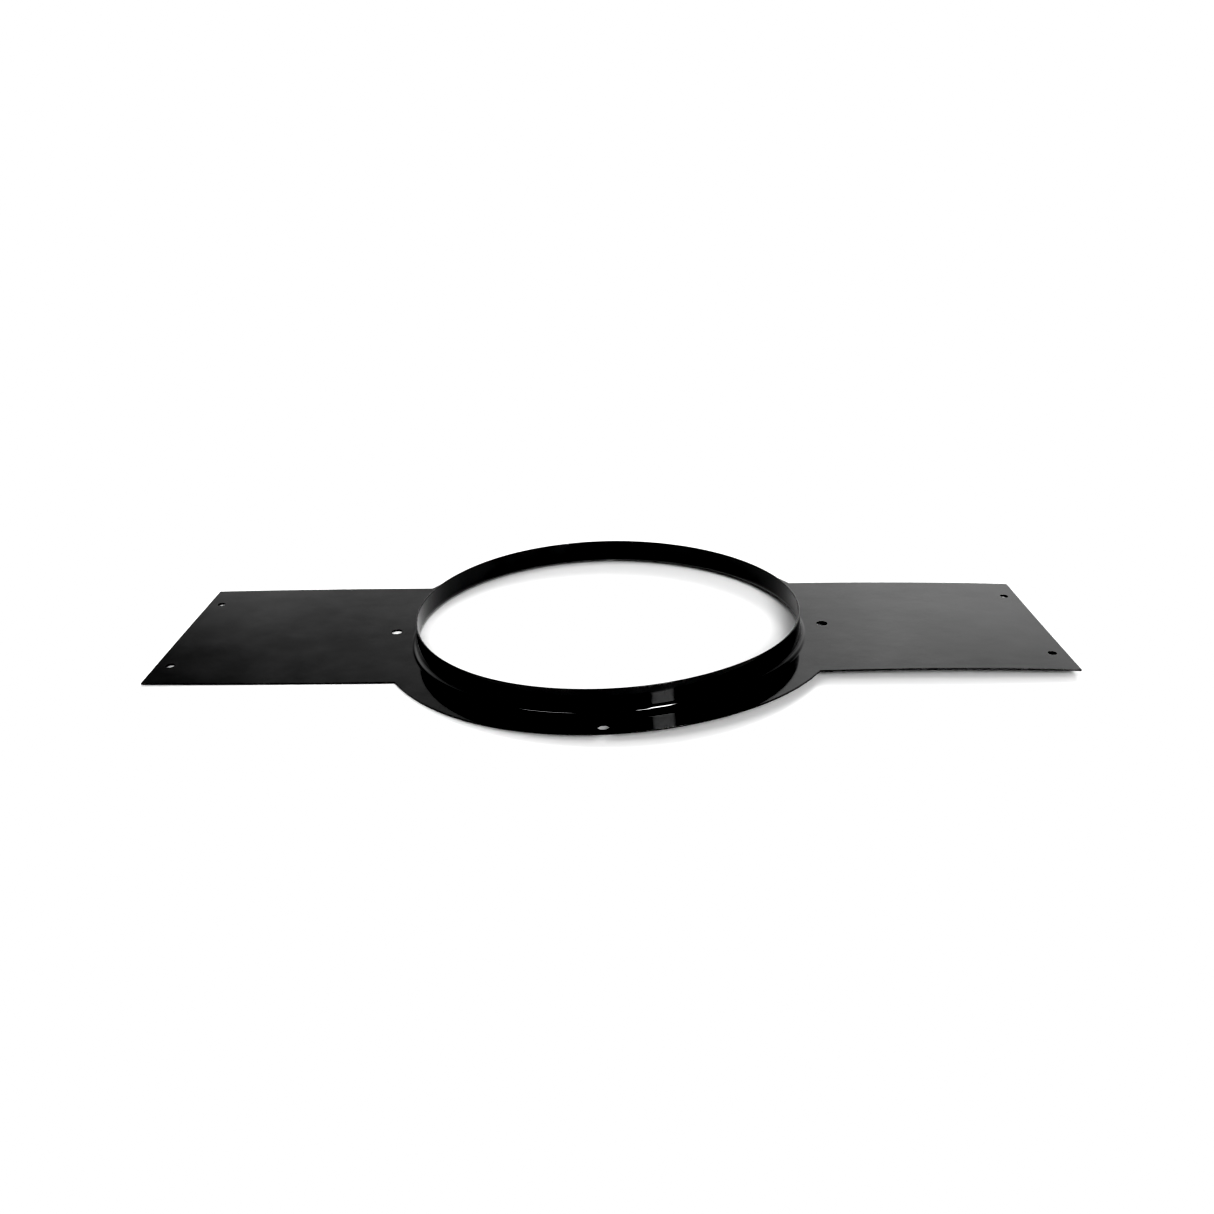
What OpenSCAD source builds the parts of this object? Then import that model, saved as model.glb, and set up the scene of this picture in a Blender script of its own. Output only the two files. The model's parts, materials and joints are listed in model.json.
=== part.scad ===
// Rough-in mounting plate for a round ceiling fixture.
//
// A thin steel plate with two nailing wings and a round flange carries a short collar.
// The plate's flat back lies against the joists, and the ceiling board butts up to the
// collar, which is as deep as the board is thick.
//
// Frame: +Z is up and the collar stands upwards. The origin is on the collar's axis, level
// with the flat back of the plate. X runs along the wings. All sizes are in millimetres.

/* [Sheet] */
// Thickness of the steel sheet with its paint
sheet_t = 1; // [0.7:0.1:1.5]

/* [Collar] */
// Inside diameter of the collar
collar_id = 254; // [200:1:262]
// Height of the collar above the face of the plate
collar_h = 16; // [8:0.5:30]
// Inside radius of the bend at the foot of the collar
foot_r = 4; // [1:0.5:5]

/* [Flange] */
// Outside diameter of the round flange
flange_od = 304; // [300:1:340]
// Diameter of the circle that the flange holes lie on
flange_pcd = 288; // [284:1:290]
// Diameter of each flange hole
flange_hole_d = 7; // [4:0.1:8]

/* [Wings] */
// Length of the plate from the end of one wing to the end of the other
plate_l = 581; // [576:1:700]
// Width of each wing
wing_w = 153; // [120:1:200]
// Distance between the wing holes along the plate
wing_hole_x = 562; // [400:1:568]
// Distance between the wing holes across the plate
wing_hole_y = 102; // [40:1:112]
// Diameter of each wing hole
wing_hole_d = 5.2; // [3:0.1:6]

/* [Hidden] */

flange_hole_count = 4;
collar_r = collar_id / 2;
collar_top = sheet_t + collar_h;
// The foot of the collar bends outwards about this point and ends level with the plate.
bend_centre_r = collar_r + sheet_t + foot_r;
bend_centre_z = sheet_t + foot_r;
// Extra length by which a cutting tool passes through a face
cut = 1;
$fn = 180;

// Outline of the plate: one strip for both wings, joined to the round flange.
module plate_outline() {
    square([plate_l, wing_w], center = true);
    circle(d = flange_od);
}

// The tool that drills one hole straight through the plate.
module drill(d) {
    translate([0, 0, -cut])
        cylinder(d = d, h = sheet_t + 2 * cut);
}

// Four nailing holes, one near each corner of the wings.
module wing_holes() {
    for (x = [-wing_hole_x / 2, wing_hole_x / 2], y = [-wing_hole_y / 2, wing_hole_y / 2])
        translate([x, y, 0])
            drill(wing_hole_d);
}

// Holes for the fixture's screws, evenly spaced around the flange.
module flange_holes() {
    for (i = [0 : flange_hole_count - 1])
        rotate([0, 0, i * 360 / flange_hole_count])
            translate([flange_pcd / 2, 0, 0])
                drill(flange_hole_d);
}

// Half section of the collar: a straight wall on a quarter bend, both one sheet thick.
module collar_section() {
    translate([collar_r, bend_centre_z])
        square([sheet_t, collar_top - bend_centre_z]);
    intersection() {
        translate([bend_centre_r, bend_centre_z])
            difference() {
                circle(r = foot_r + sheet_t);
                circle(r = foot_r);
            }
        translate([collar_r, 0])
            square(foot_r + sheet_t);
    }
}

// The flat blank. Its opening ends where the foot of the collar begins.
module mounting_plate() {
    color("#1b1b1b")
        difference() {
            linear_extrude(sheet_t)
                plate_outline();
            drill(2 * bend_centre_r);
            wing_holes();
            flange_holes();
        }
}

// The upstanding ring with its flared foot.
module collar_ring() {
    color("#0f0f0f")
        rotate_extrude()
            collar_section();
}

mounting_plate();
collar_ring();
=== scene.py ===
import json
import math
import bpy
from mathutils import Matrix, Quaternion, Vector, noise
from mathutils.geometry import delaunay_2d_cdt


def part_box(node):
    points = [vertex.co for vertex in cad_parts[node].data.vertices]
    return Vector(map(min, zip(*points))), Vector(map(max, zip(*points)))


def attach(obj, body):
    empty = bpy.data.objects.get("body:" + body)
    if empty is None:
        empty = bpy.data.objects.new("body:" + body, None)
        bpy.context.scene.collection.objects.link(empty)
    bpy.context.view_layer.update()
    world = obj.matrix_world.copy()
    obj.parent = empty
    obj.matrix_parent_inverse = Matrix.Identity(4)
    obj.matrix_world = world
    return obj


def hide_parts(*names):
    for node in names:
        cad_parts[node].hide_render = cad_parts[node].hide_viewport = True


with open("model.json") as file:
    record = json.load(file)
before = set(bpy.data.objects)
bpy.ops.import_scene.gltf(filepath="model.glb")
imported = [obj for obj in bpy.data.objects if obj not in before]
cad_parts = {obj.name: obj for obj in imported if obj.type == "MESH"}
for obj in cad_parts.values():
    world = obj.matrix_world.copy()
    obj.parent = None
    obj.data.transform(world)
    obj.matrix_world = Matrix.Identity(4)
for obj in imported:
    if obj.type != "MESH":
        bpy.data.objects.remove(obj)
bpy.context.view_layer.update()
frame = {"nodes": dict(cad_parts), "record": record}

# ---------------------------------------------------------------------------------------------
# Sizes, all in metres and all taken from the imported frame
# ---------------------------------------------------------------------------------------------
MM = 0.001
MOUNTS = {m["name"]: m for m in frame["record"]["mounts"]}
PLATE_LOW, PLATE_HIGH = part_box("mounting_plate")
COLLAR_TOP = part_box("collar_ring")[1].z

SHEET = PLATE_HIGH.z - PLATE_LOW.z
WING_END = PLATE_HIGH.x
FLANGE_R = PLATE_HIGH.y
COLLAR_IN = MOUNTS["collar_bore"]["dims"]["r_mm"] * MM
COLLAR_OUT = MOUNTS["collar_outside"]["dims"]["r_mm"] * MM
# The collar's straight wall stands on a quarter bend, which ends level with the plate.
BEND_TOP = COLLAR_TOP - MOUNTS["collar_outside"]["dims"]["length_mm"] * MM
FOOT_R = BEND_TOP - SHEET
FOOT_END = COLLAR_OUT + FOOT_R


def wing_half_width():
    """Half the width of a wing, from the CAD plate's own corners."""
    points = [v.co for v in frame["nodes"]["mounting_plate"].data.vertices]
    return max(p.y for p in points if p.x > WING_END - 0.1 * MM)


WING_HALF = wing_half_width()


def hole_list():
    """(x, y, radius) of every small hole in the plate, from the two hole patterns."""
    ring, grid = MOUNTS["flange_holes"]["dims"], MOUNTS["wing_holes"]["dims"]
    found = []
    for i in range(ring["count"]):
        a = math.tau * i / ring["count"]
        r = ring["pcd_mm"] / 2 * MM
        found.append((r * math.cos(a), r * math.sin(a), ring["hole_r_mm"] * MM))
    for sx in (-1, 1):
        for sy in (-1, 1):
            x, y = sx * grid["spacing_x_mm"] / 2 * MM, sy * grid["spacing_y_mm"] / 2 * MM
            found.append((x, y, grid["hole_r_mm"] * MM))
    return found


HOLES = hole_list()

# ---------------------------------------------------------------------------------------------
# How the thin sheet lies on the floor
# ---------------------------------------------------------------------------------------------
# A long thin sheet is never quite flat. Its height is a sum of terms size * u^i * v^j, with u from
# -1 to 1 along the wings and v from -1 to 1 across the flange. The lowest place is on the floor.
SHEET_BOW = {
    (1, 0): 4.2 * MM,
    (0, 1): -0.7 * MM,
    (2, 0): 3.0 * MM,
    (1, 1): -5.4 * MM,
    (0, 2): 2.8 * MM,
    (3, 0): -3.6 * MM,
    (2, 1): -1.7 * MM,
    (1, 2): 1.0 * MM,
    (4, 0): -3.0 * MM,
    (3, 1): 3.2 * MM,
    (2, 2): -2.3 * MM,
}
# Faint dents left by pressing and handling
DENT_SIZE = 70 * MM
DENT_DEPTH = 0.12 * MM
# Steps along each side when looking for the place that touches the floor
LOWEST_STEPS = 60


def bow(x, y):
    """Height of the sheet at a place, before it is set down on the floor."""
    u, v = x / WING_END, y / FLANGE_R
    height = sum(size * u**i * v**j for (i, j), size in SHEET_BOW.items())
    return height + DENT_DEPTH * noise.noise(Vector((x / DENT_SIZE, y / DENT_SIZE, 0.3)))


def lowest_bow():
    """The lowest height found anywhere on the plate."""
    heights = []
    for i in range(LOWEST_STEPS + 1):
        for j in range(LOWEST_STEPS + 1):
            x = WING_END * (2 * i / LOWEST_STEPS - 1)
            y = FLANGE_R * (2 * j / LOWEST_STEPS - 1)
            if abs(y) <= WING_HALF or FOOT_END < math.hypot(x, y) < FLANGE_R:
                heights.append(bow(x, y))
    return min(heights)


BOW_LOWEST = lowest_bow()


def lift(x, y):
    """Height of the sheet's back above the floor."""
    return bow(x, y) - BOW_LOWEST


def lift_slope(x, y):
    """The slope of lift along X and along Y."""
    d = 1 * MM
    return (lift(x + d, y) - lift(x - d, y)) / (2 * d), (lift(x, y + d) - lift(x, y - d)) / (2 * d)


# ---------------------------------------------------------------------------------------------
# Building meshes whose corner normals are exact
# ---------------------------------------------------------------------------------------------
class Sheet:
    """Collects points and faces of a flat design, then bends them as the real sheet lies."""

    def __init__(self):
        self.points, self.edge_amount, self.faces, self.normals = [], [], [], []

    def add(self, x, y, z, edge=0.0):
        """A point of the flat design. edge is 1 where a cut edge is rounded over."""
        self.points.append(Vector((x, y, z)))
        self.edge_amount.append(edge)
        return len(self.points) - 1

    def face(self, corners, normals):
        """A face between numbered points, with the flat design's normal at each corner."""
        self.faces.append(corners)
        self.normals.extend(Vector(n) for n in normals)

    def strip(self, lower, upper, lower_normals, upper_normals):
        """Quads between two closed rings of points. The face looks left of the way they run,
        seen with upper above lower."""
        n = len(lower)
        for i in range(n):
            j = (i + 1) % n
            self.face(
                (lower[i], lower[j], upper[j], upper[i]),
                (lower_normals[i], lower_normals[j], upper_normals[j], upper_normals[i]),
            )

    def build(self, name):
        """Makes the object, with every point and normal turned as the sheet lies."""
        slopes = [lift_slope(p.x, p.y) for p in self.points]
        bent = []
        for p, (sx, sy) in zip(self.points, slopes):
            bent.append((p.x - sx * p.z, p.y - sy * p.z, p.z + lift(p.x, p.y)))
        mesh = bpy.data.meshes.new(name)
        mesh.from_pydata(bent, [], self.faces)
        corner_points = [c for f in self.faces for c in f]
        turned = []
        for c, n in zip(corner_points, self.normals):
            sx, sy = slopes[c]
            way = Vector((n.x - sx * n.z, n.y - sy * n.z, n.z + sx * n.x + sy * n.y))
            turned.append(way.normalized())
        mesh.polygons.foreach_set("use_smooth", [True] * len(self.faces))
        mesh.normals_split_custom_set(turned)
        edge = mesh.attributes.new("edge_amount", "FLOAT", "POINT")
        edge.data.foreach_set("value", self.edge_amount)
        mesh.update()
        piece = bpy.data.objects.new(name, mesh)
        bpy.context.scene.collection.objects.link(piece)
        return piece


# ---------------------------------------------------------------------------------------------
# The plate
# ---------------------------------------------------------------------------------------------
# Rounding of the cut edges, of the wings' corners and where the wings meet the flange
CUT_ROUNDING = 0.22 * MM
CORNER_R = 0.6 * MM
NOTCH_R = 0.9 * MM
# How finely each curve and straight is divided
ROUNDING_STEPS = 4
CORNER_STEPS = 6
NOTCH_STEPS = 8
FLANGE_STEPS = 150
HOLE_STEPS = 48
OPENING_STEPS = 360
STRAIGHT_STEP = 5 * MM
# Points inside the plate: their spacing, the rows' spacing as a share of it, and how far they
# keep from a cut edge
GRID_STEP = 5 * MM
ROW_SHARE = 0.866
GRID_MARGIN = 1.6 * MM
# Two arcs closer than this meet at one point.
TOUCHING = 0.01 * MM
# Two points closer than this are one point when the flat faces are filled.
SAME_POINT = 0.0001 * MM


def outline_arcs():
    """(centre, radius, first angle, last angle, steps, 1 if the arc bulges out or -1 if it is a
    notch), counter-clockwise round the plate. Straight lines join them."""
    cx, cy = WING_END - CORNER_R, WING_HALF - CORNER_R
    ny = WING_HALF + NOTCH_R
    nx = math.sqrt((FLANGE_R + NOTCH_R) ** 2 - ny**2)
    turn = math.atan2(ny, nx)
    quarter = math.pi / 2
    return [
        ((cx, cy), CORNER_R, 0, quarter, CORNER_STEPS, 1),
        ((nx, ny), NOTCH_R, 3 * quarter, math.pi + turn, NOTCH_STEPS, -1),
        ((0, 0), FLANGE_R, turn, math.pi - turn, FLANGE_STEPS, 1),
        ((-nx, ny), NOTCH_R, math.tau - turn, 3 * quarter, NOTCH_STEPS, -1),
        ((-cx, cy), CORNER_R, quarter, math.pi, CORNER_STEPS, 1),
        ((-cx, -cy), CORNER_R, math.pi, 3 * quarter, CORNER_STEPS, 1),
        ((-nx, -ny), NOTCH_R, quarter, turn, NOTCH_STEPS, -1),
        ((0, 0), FLANGE_R, math.pi + turn, math.tau - turn, FLANGE_STEPS, 1),
        ((nx, -ny), NOTCH_R, math.pi - turn, quarter, NOTCH_STEPS, -1),
        ((cx, -cy), CORNER_R, 3 * quarter, math.tau, CORNER_STEPS, 1),
    ]


def arc_points(arc, inset):
    """Points along one arc of the outline moved in by inset, each with its outward direction."""
    (x, y), radius, first, last, steps, side = arc
    r = radius - side * inset
    found = []
    for k in range(steps + 1):
        a = first + (last - first) * k / steps
        c, s = math.cos(a), math.sin(a)
        found.append(((x + r * c, y + r * s), (side * c, side * s)))
    return found


def outline(inset):
    """Points of the plate's outline moved in by inset, each with its outward direction. Every
    inset has the same number of points, so that rings of them can be joined."""
    arcs = outline_arcs()
    found = []
    for arc, following in zip(arcs, arcs[1:] + arcs[:1]):
        found += arc_points(arc, inset)
        gap = math.dist(arc_points(arc, 0)[-1][0], arc_points(following, 0)[0][0])
        if gap < TOUCHING:
            found.pop()
            continue
        (p, n), (q, _) = found[-1], arc_points(following, inset)[0]
        pieces = round(gap / STRAIGHT_STEP)
        for k in range(1, pieces):
            t = k / pieces
            found.append(((p[0] + (q[0] - p[0]) * t, p[1] + (q[1] - p[1]) * t), n))
    return found


def circle_cut(x, y, radius, inset, steps):
    """Points of a hole's wall moved into the metal by inset, clockwise, so that the metal is on
    the same side as along the outline."""
    found = []
    for k in range(steps):
        a = -math.tau * k / steps
        c, s = math.cos(a), math.sin(a)
        found.append(((x + (radius + inset) * c, y + (radius + inset) * s), (-c, -s)))
    return found


def edge_profile():
    """(distance in from the cut edge, height, outward share, upward share) from the bottom face,
    round the cut edge, to the top face."""
    found = []
    for k in range(ROUNDING_STEPS + 1):
        a = math.pi / 2 * (k / ROUNDING_STEPS - 1)
        c, s = math.cos(a), math.sin(a)
        found.append((CUT_ROUNDING * (1 - c), CUT_ROUNDING * (1 + s), c, s))
    for k in range(ROUNDING_STEPS + 1):
        a = math.pi / 2 * k / ROUNDING_STEPS
        c, s = math.cos(a), math.sin(a)
        found.append((CUT_ROUNDING * (1 - c), SHEET - CUT_ROUNDING * (1 - s), c, s))
    return found


def cut_edge(sheet, cut):
    """The rounded wall of one cut edge. cut(inset) gives its points. Returns the point numbers
    where it meets the bottom face and the top face."""
    rings = []
    for inset, z, out, up in edge_profile():
        ring = cut(inset)
        points = [sheet.add(p[0], p[1], z, abs(out)) for p, _ in ring]
        normals = [(n[0] * out, n[1] * out, up) for _, n in ring]
        rings.append((points, normals))
    for (low, low_n), (high, high_n) in zip(rings, rings[1:]):
        sheet.strip(low, high, low_n, high_n)
    return rings[0][0], rings[-1][0]


def inner_grid():
    """Evenly spaced points inside the plate, away from its cut edges."""
    found = []
    rows = int(FLANGE_R / (GRID_STEP * ROW_SHARE)) + 1
    columns = int(WING_END / GRID_STEP) + 1
    for j in range(-rows, rows + 1):
        for i in range(-columns, columns + 1):
            x, y = (i + 0.5 * (j % 2)) * GRID_STEP, j * GRID_STEP * ROW_SHARE
            r = math.hypot(x, y)
            on_wing = abs(x) < WING_END - GRID_MARGIN and abs(y) < WING_HALF - GRID_MARGIN
            on_flange = r < FLANGE_R - GRID_MARGIN
            if r < FOOT_END + GRID_MARGIN or not (on_wing or on_flange):
                continue
            if all(math.dist((x, y), (hx, hy)) > hr + GRID_MARGIN for hx, hy, hr in HOLES):
                found.append(Vector((x, y)))
    return found


def in_an_opening(p):
    """True inside the round opening or a small hole."""
    return p.length < FOOT_END or any(math.dist(p, (x, y)) < r for x, y, r in HOLES)


def opening_wall(sheet):
    """The plain wall of the round opening, which the collar's foot lies against. Returns the
    point numbers where it meets the bottom face and the top face."""
    ring = circle_cut(0, 0, FOOT_END, 0, OPENING_STEPS)
    low = [sheet.add(p[0], p[1], 0) for p, _ in ring]
    high = [sheet.add(p[0], p[1], SHEET) for p, _ in ring]
    normals = [(n[0], n[1], 0) for _, n in ring]
    sheet.strip(low, high, normals, normals)
    return low, high


def flat_faces(sheet, loops):
    """Fills the bottom face and the top face between the loops of the cut edges."""
    grid = inner_grid()
    flat = [Vector(sheet.points[i].xy) for low, _ in loops for i in low] + grid
    bottom = [i for low, _ in loops for i in low] + [sheet.add(p.x, p.y, 0) for p in grid]
    top = [i for _, high in loops for i in high] + [sheet.add(p.x, p.y, SHEET) for p in grid]
    edges, start = [], 0
    for low, _ in loops:
        n = len(low)
        edges += [(start + i, start + (i + 1) % n) for i in range(n)]
        start += n
    within_the_outline = 1
    made = delaunay_2d_cdt(flat, edges, [], within_the_outline, SAME_POINT)
    triangles, came_from = made[2], [ids[0] for ids in made[3]]
    for triangle in triangles:
        a, b, c = (came_from[i] for i in triangle)
        if in_an_opening((flat[a] + flat[b] + flat[c]) / 3):
            continue
        if (flat[b] - flat[a]).cross(flat[c] - flat[a]) < 0:
            b, c = c, b
        sheet.face((top[a], top[b], top[c]), [(0, 0, 1)] * 3)
        sheet.face((bottom[a], bottom[c], bottom[b]), [(0, 0, -1)] * 3)


def plate_piece():
    sheet = Sheet()
    loops = [cut_edge(sheet, outline)]
    for x, y, r in HOLES:
        loops.append(cut_edge(
            sheet, lambda inset, x=x, y=y, r=r: circle_cut(x, y, r, inset, HOLE_STEPS)))
    loops.append(opening_wall(sheet))
    flat_faces(sheet, loops)
    return sheet.build("plate_sheet")


# ---------------------------------------------------------------------------------------------
# The collar
# ---------------------------------------------------------------------------------------------
RIM_ROUNDING = 0.3 * MM
# The pressed wall isn't quite true: it ripples a little towards its free edge.
RIPPLE = 0.14 * MM
RIPPLES_ROUND = 5
BEND_STEPS = 14
WALL_STEPS = 8
RIM_STEPS = 4


def wall_ripple(angle, height):
    """How far the wall stands outwards at a place round the collar."""
    free = max(0.0, (height - SHEET) / (COLLAR_TOP - SHEET)) ** 2
    c, s = math.cos(angle), math.sin(angle)
    return free * RIPPLE * noise.noise(Vector((RIPPLES_ROUND / 2 * c, RIPPLES_ROUND / 2 * s, 2.0)))


def collar_profile():
    """(radius, height, outward share, upward share, edge amount) round the wall's section, from
    the top of the foot, up the outside, over the rim and down the inside."""
    found = []
    wall_top = COLLAR_TOP - RIM_ROUNDING
    for k in range(BEND_STEPS + 1):
        a = -math.pi / 2 * (1 + k / BEND_STEPS)
        c, s = math.cos(a), math.sin(a)
        found.append((FOOT_END + FOOT_R * c, BEND_TOP + FOOT_R * s, -c, -s, 0))
    for k in range(1, WALL_STEPS):
        z = BEND_TOP + (wall_top - BEND_TOP) * k / WALL_STEPS
        found.append((COLLAR_OUT, z, 1, 0, 0))
    for k in range(RIM_STEPS + 1):
        a = math.pi / 2 * k / RIM_STEPS
        c, s = math.cos(a), math.sin(a)
        found.append((COLLAR_OUT - RIM_ROUNDING * (1 - c), wall_top + RIM_ROUNDING * s, c, s, 1))
    for k in range(RIM_STEPS + 1):
        a = math.pi / 2 * (1 + k / RIM_STEPS)
        c, s = math.cos(a), math.sin(a)
        found.append((COLLAR_IN + RIM_ROUNDING * (1 + c), wall_top + RIM_ROUNDING * s, c, s, 1))
    for k in range(1, WALL_STEPS):
        z = wall_top + (BEND_TOP - wall_top) * k / WALL_STEPS
        found.append((COLLAR_IN, z, -1, 0, 0))
    outer_r = FOOT_R + SHEET
    for k in range(BEND_STEPS + 1):
        a = math.pi + math.pi / 2 * k / BEND_STEPS
        c, s = math.cos(a), math.sin(a)
        found.append((FOOT_END + outer_r * c, BEND_TOP + outer_r * s, c, s, 0))
    return found


def collar_piece():
    sheet = Sheet()
    angles = [math.tau * k / OPENING_STEPS for k in range(OPENING_STEPS)]
    rings = []
    for r, z, out, up, edge in collar_profile():
        points, normals = [], []
        for a in angles:
            c, s = math.cos(a), math.sin(a)
            ripple = wall_ripple(a, z)
            points.append(sheet.add((r + ripple) * c, (r + ripple) * s, z, edge))
            normals.append((out * c, out * s, up))
        rings.append((points, normals))
    for (low, low_n), (high, high_n) in zip(rings, rings[1:]):
        sheet.strip(low, high, low_n, high_n)
    # The end of the foot, which lies against the plate
    end_normals = [(math.cos(a), math.sin(a), 0) for a in angles]
    sheet.strip(rings[-1][0], rings[0][0], end_normals, end_normals)
    return sheet.build("collar_wall")


# ---------------------------------------------------------------------------------------------
# Materials
# ---------------------------------------------------------------------------------------------
class Nodes:
    """A short way to make and link shader nodes in one tree."""

    def __init__(self, tree):
        self.tree = tree
        self.tree.nodes.clear()

    def make(self, kind, **inputs):
        node = self.tree.nodes.new(kind)
        for key, value in inputs.items():
            self.set(node, key, value)
        return node

    def set(self, node, key, value):
        socket = node.inputs[key]
        if isinstance(value, bpy.types.NodeSocket):
            self.tree.links.new(value, socket)
        else:
            socket.default_value = value

    def noise(self, where, scale, detail, roughness=0.5):
        node = self.make("ShaderNodeTexNoise", Vector=where, Scale=scale, Detail=detail)
        node.inputs["Roughness"].default_value = roughness
        return node.outputs["Fac"]

    def ramp(self, value, low, high, to_low=0.0, to_high=1.0):
        node = self.make("ShaderNodeMapRange")
        self.set(node, "Value", value)
        for key, number in (("From Min", low), ("From Max", high),
                            ("To Min", to_low), ("To Max", to_high)):
            node.inputs[key].default_value = number
        node.clamp = True
        return node.outputs["Result"]

    def math(self, operation, a, b):
        node = self.make("ShaderNodeMath")
        node.operation = operation
        self.set(node, 0, a)
        self.set(node, 1, b)
        return node.outputs[0]

    def mix_colour(self, amount, a, b):
        node = self.make("ShaderNodeMix")
        node.data_type = "RGBA"
        self.set(node, 0, amount)
        self.set(node, 6, a)
        self.set(node, 7, b)
        return node.outputs[2]

    def bump(self, height, strength, distance, under=None):
        node = self.make("ShaderNodeBump", Height=height, Strength=strength, Distance=distance)
        if under is not None:
            self.set(node, "Normal", under)
        return node.outputs["Normal"]


def new_material(name):
    """A material, and the means to fill its empty node tree."""
    material = bpy.data.materials.new(name)
    material.use_nodes = True
    return material, Nodes(material.node_tree)


# Colours of the paint: where it is deep, where it looks hazy, and the dust in it
DEEP_BLACK = (0.002, 0.002, 0.0021, 1)
HAZY_BLACK = (0.02, 0.02, 0.0203, 1)
DUST_GREY = (0.06, 0.06, 0.06, 1)
# Colour of the thinned paint where a cut edge is worn
WORN_PAINT = (0.06, 0.058, 0.056, 1)
# Roughness of the paint on the plate and on the collar, and how much the clouds, the orange peel
# and the wear of a cut edge add to it
PLATE_GLOSS = 0.07
COLLAR_GLOSS = 0.06
CLOUD_ROUGHNESS = 0.03
PEEL_ROUGHNESS = 0.02
WORN_ROUGHNESS = 0.2
PAINT_IOR = 1.55
# Patterns to the metre: clouds in the gloss, slow waves, orange peel and dust
CLOUD_SCALE = 45
WAVE_SCALE = 60
PEEL_SCALE = 420
DUST_SCALE = 1600
# Depth of the waves and of the orange peel
WAVE_DEPTH = 0.4 * MM
PEEL_DEPTH = 0.05 * MM


def black_enamel(name, gloss):
    """Sprayed black enamel on sheet steel: faint orange peel, cloudy gloss, thin worn edges."""
    material, n = new_material(name)
    where = n.make("ShaderNodeTexCoord").outputs["Object"]
    cloud = n.noise(where, CLOUD_SCALE, 5, 0.6)
    wave = n.noise(where, WAVE_SCALE, 2, 0.5)
    peel = n.noise(where, PEEL_SCALE, 3, 0.55)
    speck = n.noise(where, DUST_SCALE, 1)
    edge = n.make("ShaderNodeAttribute")
    edge.attribute_name = "edge_amount"

    haze = n.math("ADD", n.ramp(cloud, 0.35, 0.7, 0, 0.7), n.ramp(peel, 0.4, 0.8, 0, 0.3))
    colour = n.mix_colour(haze, DEEP_BLACK, HAZY_BLACK)
    dust = n.math("MULTIPLY", n.ramp(speck, 0.73, 0.78), 0.6)
    colour = n.mix_colour(dust, colour, DUST_GREY)
    worn = n.math("MULTIPLY", edge.outputs["Fac"], n.ramp(peel, 0.5, 0.72))
    colour = n.mix_colour(n.math("MULTIPLY", worn, 0.5), colour, WORN_PAINT)

    rough = n.ramp(cloud, 0.3, 0.72, gloss, gloss + CLOUD_ROUGHNESS)
    rough = n.math("ADD", rough, n.ramp(peel, 0.4, 0.75, 0.0, PEEL_ROUGHNESS))
    rough = n.math("ADD", rough, n.math("MULTIPLY", worn, WORN_ROUGHNESS))

    normal = n.bump(wave, 0.1, WAVE_DEPTH)
    normal = n.bump(peel, 0.12, PEEL_DEPTH, normal)

    shader = n.make("ShaderNodeBsdfPrincipled", Roughness=rough, Normal=normal)
    n.set(shader, "Base Color", colour)
    shader.inputs["IOR"].default_value = PAINT_IOR
    out = n.make("ShaderNodeOutputMaterial")
    n.set(out, "Surface", shader.outputs[0])
    return material


def studio_floor():
    """A plain pale floor with the faintest unevenness."""
    material, n = new_material("studio_floor")
    where = n.make("ShaderNodeTexCoord").outputs["Object"]
    shade = n.noise(where, 3, 2)
    colour = n.mix_colour(shade, (0.86, 0.86, 0.86, 1), (0.9, 0.9, 0.9, 1))
    shader = n.make("ShaderNodeBsdfPrincipled", Roughness=0.9)
    n.set(shader, "Base Color", colour)
    shader.inputs["Specular IOR Level"].default_value = 0.1
    out = n.make("ShaderNodeOutputMaterial")
    n.set(out, "Surface", shader.outputs[0])
    return material


# ---------------------------------------------------------------------------------------------
# Camera, floor and light
# ---------------------------------------------------------------------------------------------
# The camera looks at a place just behind the object's middle. Lengths are shares of the plate's
# length, the lens is in millimetres and angles are in degrees.
AIM_X = -0.003
AIM_Y = 0.074
CAMERA_DISTANCE = 1.4255
CAMERA_AZIMUTH = 1.56
CAMERA_ELEVATION = 22.84
CAMERA_ROLL = -1.18
CAMERA_LENS = 34.46
FLOOR_HALF = 15

# Round soft lamps far away, which cast the shadows. No reflection of them is seen in the paint.
# (name, azimuth, elevation, width in degrees, strength)
SUNS = [
    ("key_light", 12, 29, 24, 3.0),
    ("back_light", 160, 38, 24, 1.2),
    ("fill_light", -50, 55, 40, 0.6),
]
# Bright panels, which are only seen reflected in the paint and don't light the floor
# (name, azimuth, elevation, width, height, watts)
PANELS = [
    ("key_panel", 30.5, 35, 0.62, 0.9, 50),
    ("key_top_panel", 21.5, 48, 0.36, 0.3, 9),
    ("left_panel", -47, 52, 1.35, 0.5, 15),
]
PANEL_DISTANCE = 3

# Brightness of the white room, as the camera sees it and as it lights the object. The second is
# the product of these shares, each running between two values of one part of the direction.
# (part, first value, second value, share at the first, share at the second)
ROOM_SEEN = 1.15
ROOM_SHARES = [
    # A little fainter on the camera's side
    ("Y", -0.1, 0.7, 0.65, 1.0),
    # Fainter near the floor, brightest a little above it and fainter again higher up
    ("Z", 0.0, 0.30, 0.5, 1.0),
    ("Z", 0.30, 0.50, 2.05, 0.6),
    # Fainter to the left, with a dark corner, and bright again at the far left
    ("X", -0.33, -0.05, 0.66, 1.0),
    ("X", -0.40, -0.31, 0.55, 1.0),
    ("X", -0.65, -0.47, 2.6, 1.0),
    # A little fainter to the right
    ("X", 0.20, 0.36, 1.0, 0.75),
]


def direction(azimuth, elevation):
    """Unit vector from the object towards a place in the studio. Azimuth 0 is in front, at -Y,
    and 90 is at +X."""
    a, e = math.radians(azimuth), math.radians(elevation)
    return Vector((math.sin(a) * math.cos(e), -math.cos(a) * math.cos(e), math.sin(e)))


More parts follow.
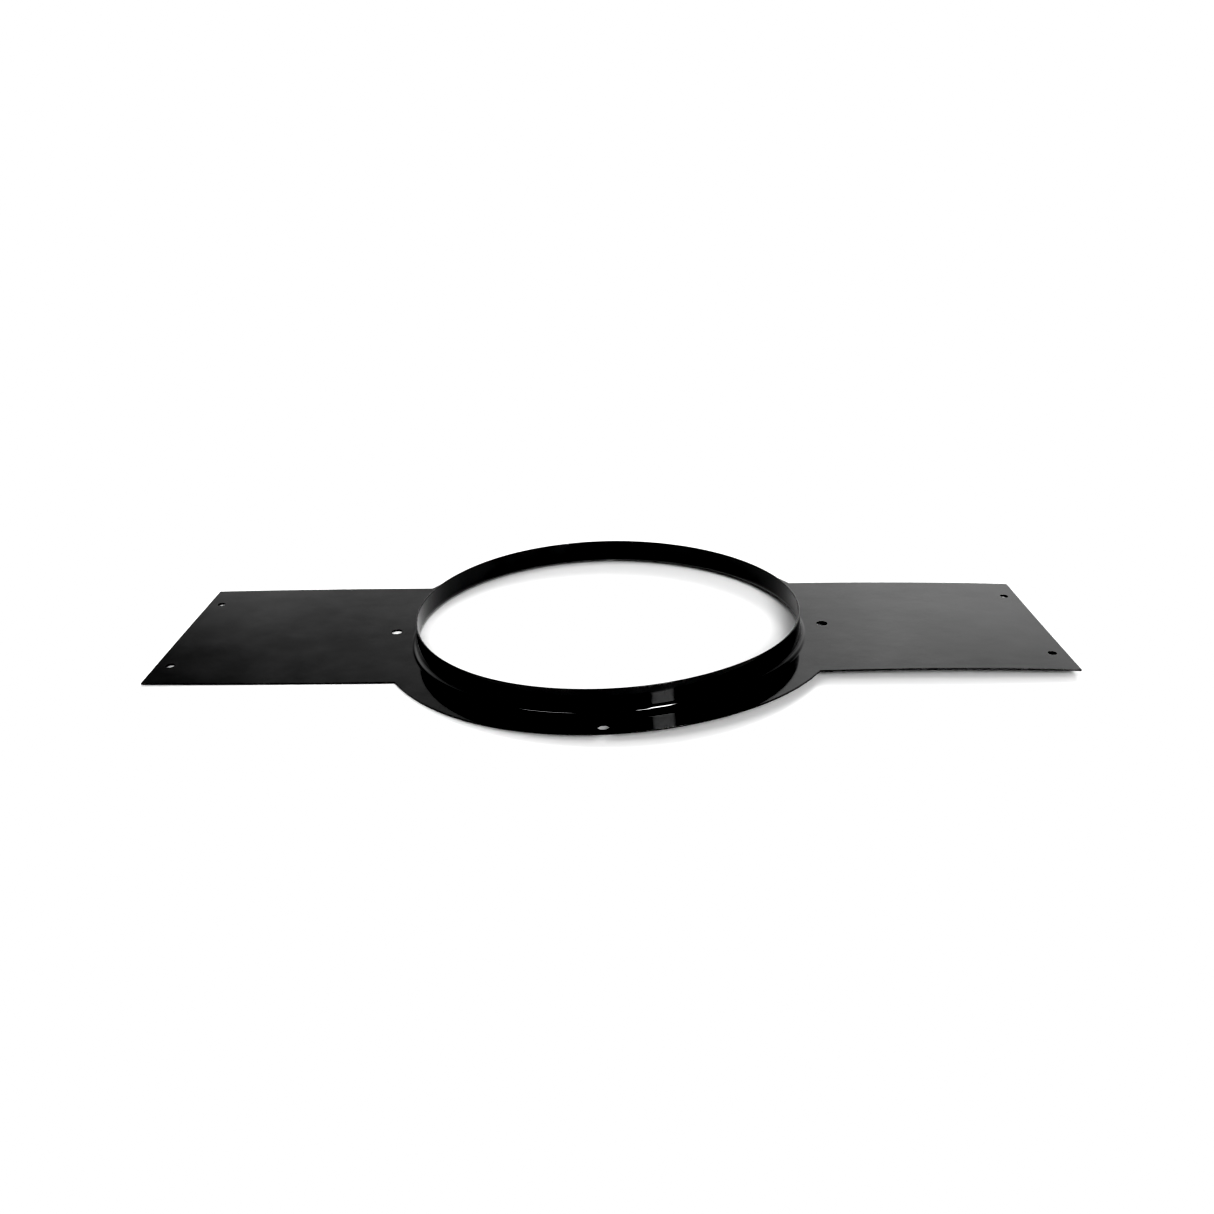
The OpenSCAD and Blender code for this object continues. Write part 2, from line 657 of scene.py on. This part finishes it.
def make_camera():
    length = PLATE_HIGH.x - PLATE_LOW.x
    aim = Vector((AIM_X * length, AIM_Y * length, 0))
    back = direction(CAMERA_AZIMUTH, CAMERA_ELEVATION)
    data = bpy.data.cameras.new("camera")
    data.sensor_width = 36
    data.lens = CAMERA_LENS
    data.clip_start = 0.01
    data.clip_end = 100
    camera = bpy.data.objects.new("camera", data)
    camera.location = aim + back * (CAMERA_DISTANCE * length)
    camera.rotation_mode = "QUATERNION"
    roll = Quaternion((0, 0, 1), math.radians(CAMERA_ROLL))
    camera.rotation_quaternion = (-back).to_track_quat("-Z", "Y") @ roll
    bpy.context.scene.collection.objects.link(camera)
    bpy.context.scene.camera = camera


def make_floor():
    h = FLOOR_HALF
    mesh = bpy.data.meshes.new("floor")
    mesh.from_pydata([(-h, -h, 0), (h, -h, 0), (h, h, 0), (-h, h, 0)], [], [(0, 1, 2, 3)])
    floor = bpy.data.objects.new("floor", mesh)
    floor.data.materials.append(studio_floor())
    bpy.context.scene.collection.objects.link(floor)


def add_lamp(name, kind, towards):
    """A lamp that shines from the given direction onto the object."""
    data = bpy.data.lights.new(name, kind)
    lamp = bpy.data.objects.new(name, data)
    lamp.rotation_euler = (-towards).to_track_quat("-Z", "Y").to_euler()
    bpy.context.scene.collection.objects.link(lamp)
    return lamp


def make_sun(name, azimuth, elevation, width, strength):
    lamp = add_lamp(name, "SUN", direction(azimuth, elevation))
    lamp.data.energy = strength
    lamp.data.angle = math.radians(width)
    lamp.visible_glossy = False


def make_panel(name, azimuth, elevation, width, height, watts):
    towards = direction(azimuth, elevation)
    lamp = add_lamp(name, "AREA", towards)
    lamp.data.shape = "RECTANGLE"
    lamp.data.size = width
    lamp.data.size_y = height
    lamp.data.energy = watts
    lamp.location = towards * PANEL_DISTANCE
    lamp.visible_diffuse = False


def make_world():
    """The white room around the object."""
    world = bpy.data.worlds.new("studio")
    bpy.context.scene.world = world
    world.use_nodes = True
    n = Nodes(world.node_tree)
    way = n.make("ShaderNodeSeparateXYZ", Vector=n.make("ShaderNodeTexCoord").outputs["Generated"])
    level = None
    for part, first, second, at_first, at_second in ROOM_SHARES:
        share = n.ramp(way.outputs[part], first, second, at_first, at_second)
        level = share if level is None else n.math("MULTIPLY", level, share)
    white = (1, 1, 1, 1)
    seen = n.make("ShaderNodeBackground", Color=white, Strength=ROOM_SEEN)
    lit = n.make("ShaderNodeBackground", Color=white, Strength=level)
    path = n.make("ShaderNodeLightPath")
    mix = n.make("ShaderNodeMixShader")
    n.set(mix, 0, path.outputs["Is Camera Ray"])
    n.set(mix, 1, lit.outputs[0])
    n.set(mix, 2, seen.outputs[0])
    out = n.make("ShaderNodeOutputWorld")
    n.set(out, "Surface", mix.outputs[0])


# Photographic contrast: the display levels that turn fully black and fully white, and the number
# of straight pieces in the curve between them
FULL_BLACK = 0.29
FULL_WHITE = 0.96
CURVE_STEPS = 14


def to_display(x):
    """Display level of a linear brightness."""
    return 12.92 * x if x < 0.0031308 else 1.055 * x ** (1 / 2.4) - 0.055


def from_display(x):
    """Linear brightness of a display level."""
    return x / 12.92 if x < 0.04045 else ((x + 0.055) / 1.055) ** 2.4


def grade():
    """A firm contrast, as on a studio photograph with a pure white ground."""
    view = bpy.context.scene.view_settings
    view.view_transform = "Standard"
    view.look = "None"
    view.use_curve_mapping = True
    curve = view.curve_mapping.curves[3]
    start, end = from_display(FULL_BLACK), from_display(FULL_WHITE)
    curve.points[0].location = (start, 0)
    curve.points[1].location = (end, 1)
    for i in range(1, CURVE_STEPS):
        x = start + (end - start) * (i / CURVE_STEPS) ** 2
        level = (to_display(x) - FULL_BLACK) / (FULL_WHITE - FULL_BLACK)
        curve.points.new(x, from_display(level))
    for point in curve.points:
        point.handle_type = "VECTOR"
    view.curve_mapping.extend = "HORIZONTAL"
    view.curve_mapping.update()


make_camera()
make_floor()
make_world()
for sun in SUNS:
    make_sun(*sun)
for panel in PANELS:
    make_panel(*panel)
grade()

plate = plate_piece()
plate.data.materials.append(black_enamel("plate_enamel", PLATE_GLOSS))
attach(plate, "root")
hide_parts("mounting_plate")

collar = collar_piece()
collar.data.materials.append(black_enamel("collar_enamel", COLLAR_GLOSS))
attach(collar, "root")
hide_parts("collar_ring")
